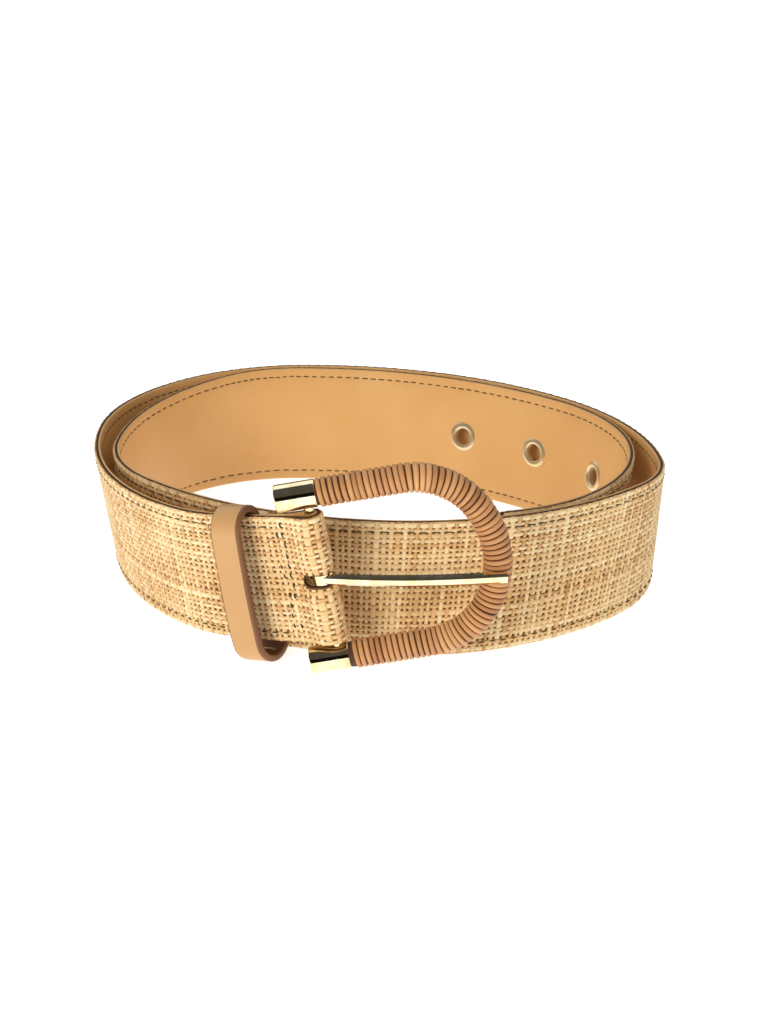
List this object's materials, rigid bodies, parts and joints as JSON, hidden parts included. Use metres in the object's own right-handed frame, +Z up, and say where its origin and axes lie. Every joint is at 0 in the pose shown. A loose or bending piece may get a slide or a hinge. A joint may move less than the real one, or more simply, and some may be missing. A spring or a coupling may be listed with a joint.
{
  "type": "waist belt",
  "caption": "Waist belt rolled up on its edge: woven straw strap with a smooth lining, a D buckle wound with leather, a prong, a keeper loop and eyelets.",
  "frame": {"origin": "under the centre of the rolled belt's box, on the surface that the belt's lower edge stands on", "axes": "+X towards the right as seen from the buckle's side, +Y away from the buckle's side, +Z up across the strap's width"},
  "size_m": [0.2144, 0.2057, 0.0744],
  "materials": {
    "straw": "woven natural straw with a slight sheen",
    "core": "matte brown edge",
    "lining": "smooth tan lining",
    "thread": "waxed brown thread",
    "gold": "polished pale gold",
    "wrap": "narrow tan leather strip, wound",
    "keeper": "smooth tan leather"
  },
  "bodies": {
    "strap": {"strap_face": "straw", "strap_core": "core", "strap_lining": "lining", "thread_face_lower": "thread", "thread_face_upper": "thread", "thread_lining_lower": "thread", "thread_lining_upper": "thread", "fold_seam_front": "thread", "fold_seam_back": "thread", "eyelet_1": "gold", "eyelet_2": "gold", "eyelet_3": "gold", "eyelet_4": "gold", "eyelet_5": "gold", "eyelet_washer_1": "gold", "eyelet_washer_2": "gold", "eyelet_washer_3": "gold", "eyelet_washer_4": "gold", "eyelet_washer_5": "gold"},
    "buckle": {"buckle_bar": "gold", "frame_core": "gold", "frame_wrap": "wrap", "cap_upper": "gold", "cap_lower": "gold"},
    "prong": {"prong": "gold"},
    "keeper": {"keeper_loop": "keeper", "keeper_staple": "gold"}
  },
  "joints": [
    {"name": "buckle_pivot", "type": "hinge", "parent": "strap", "child": "buckle", "pos_m": [-0.01579, -0.09456, 0.03513], "axis": [0.177, -0.0229, -0.9839], "range_deg": [-8, 45]},
    {"name": "prong_pivot", "type": "hinge", "parent": "buckle", "child": "prong", "pos_m": [-0.01579, -0.09456, 0.03513], "axis": [0.177, -0.0229, -0.9839], "range_deg": [0, 60]},
    {"name": "keeper_slide", "type": "slide", "parent": "strap", "child": "keeper", "axis": [0.8876, -0.4382, 0.1417], "range_m": [-0.008, 0.005]}
  ]
}
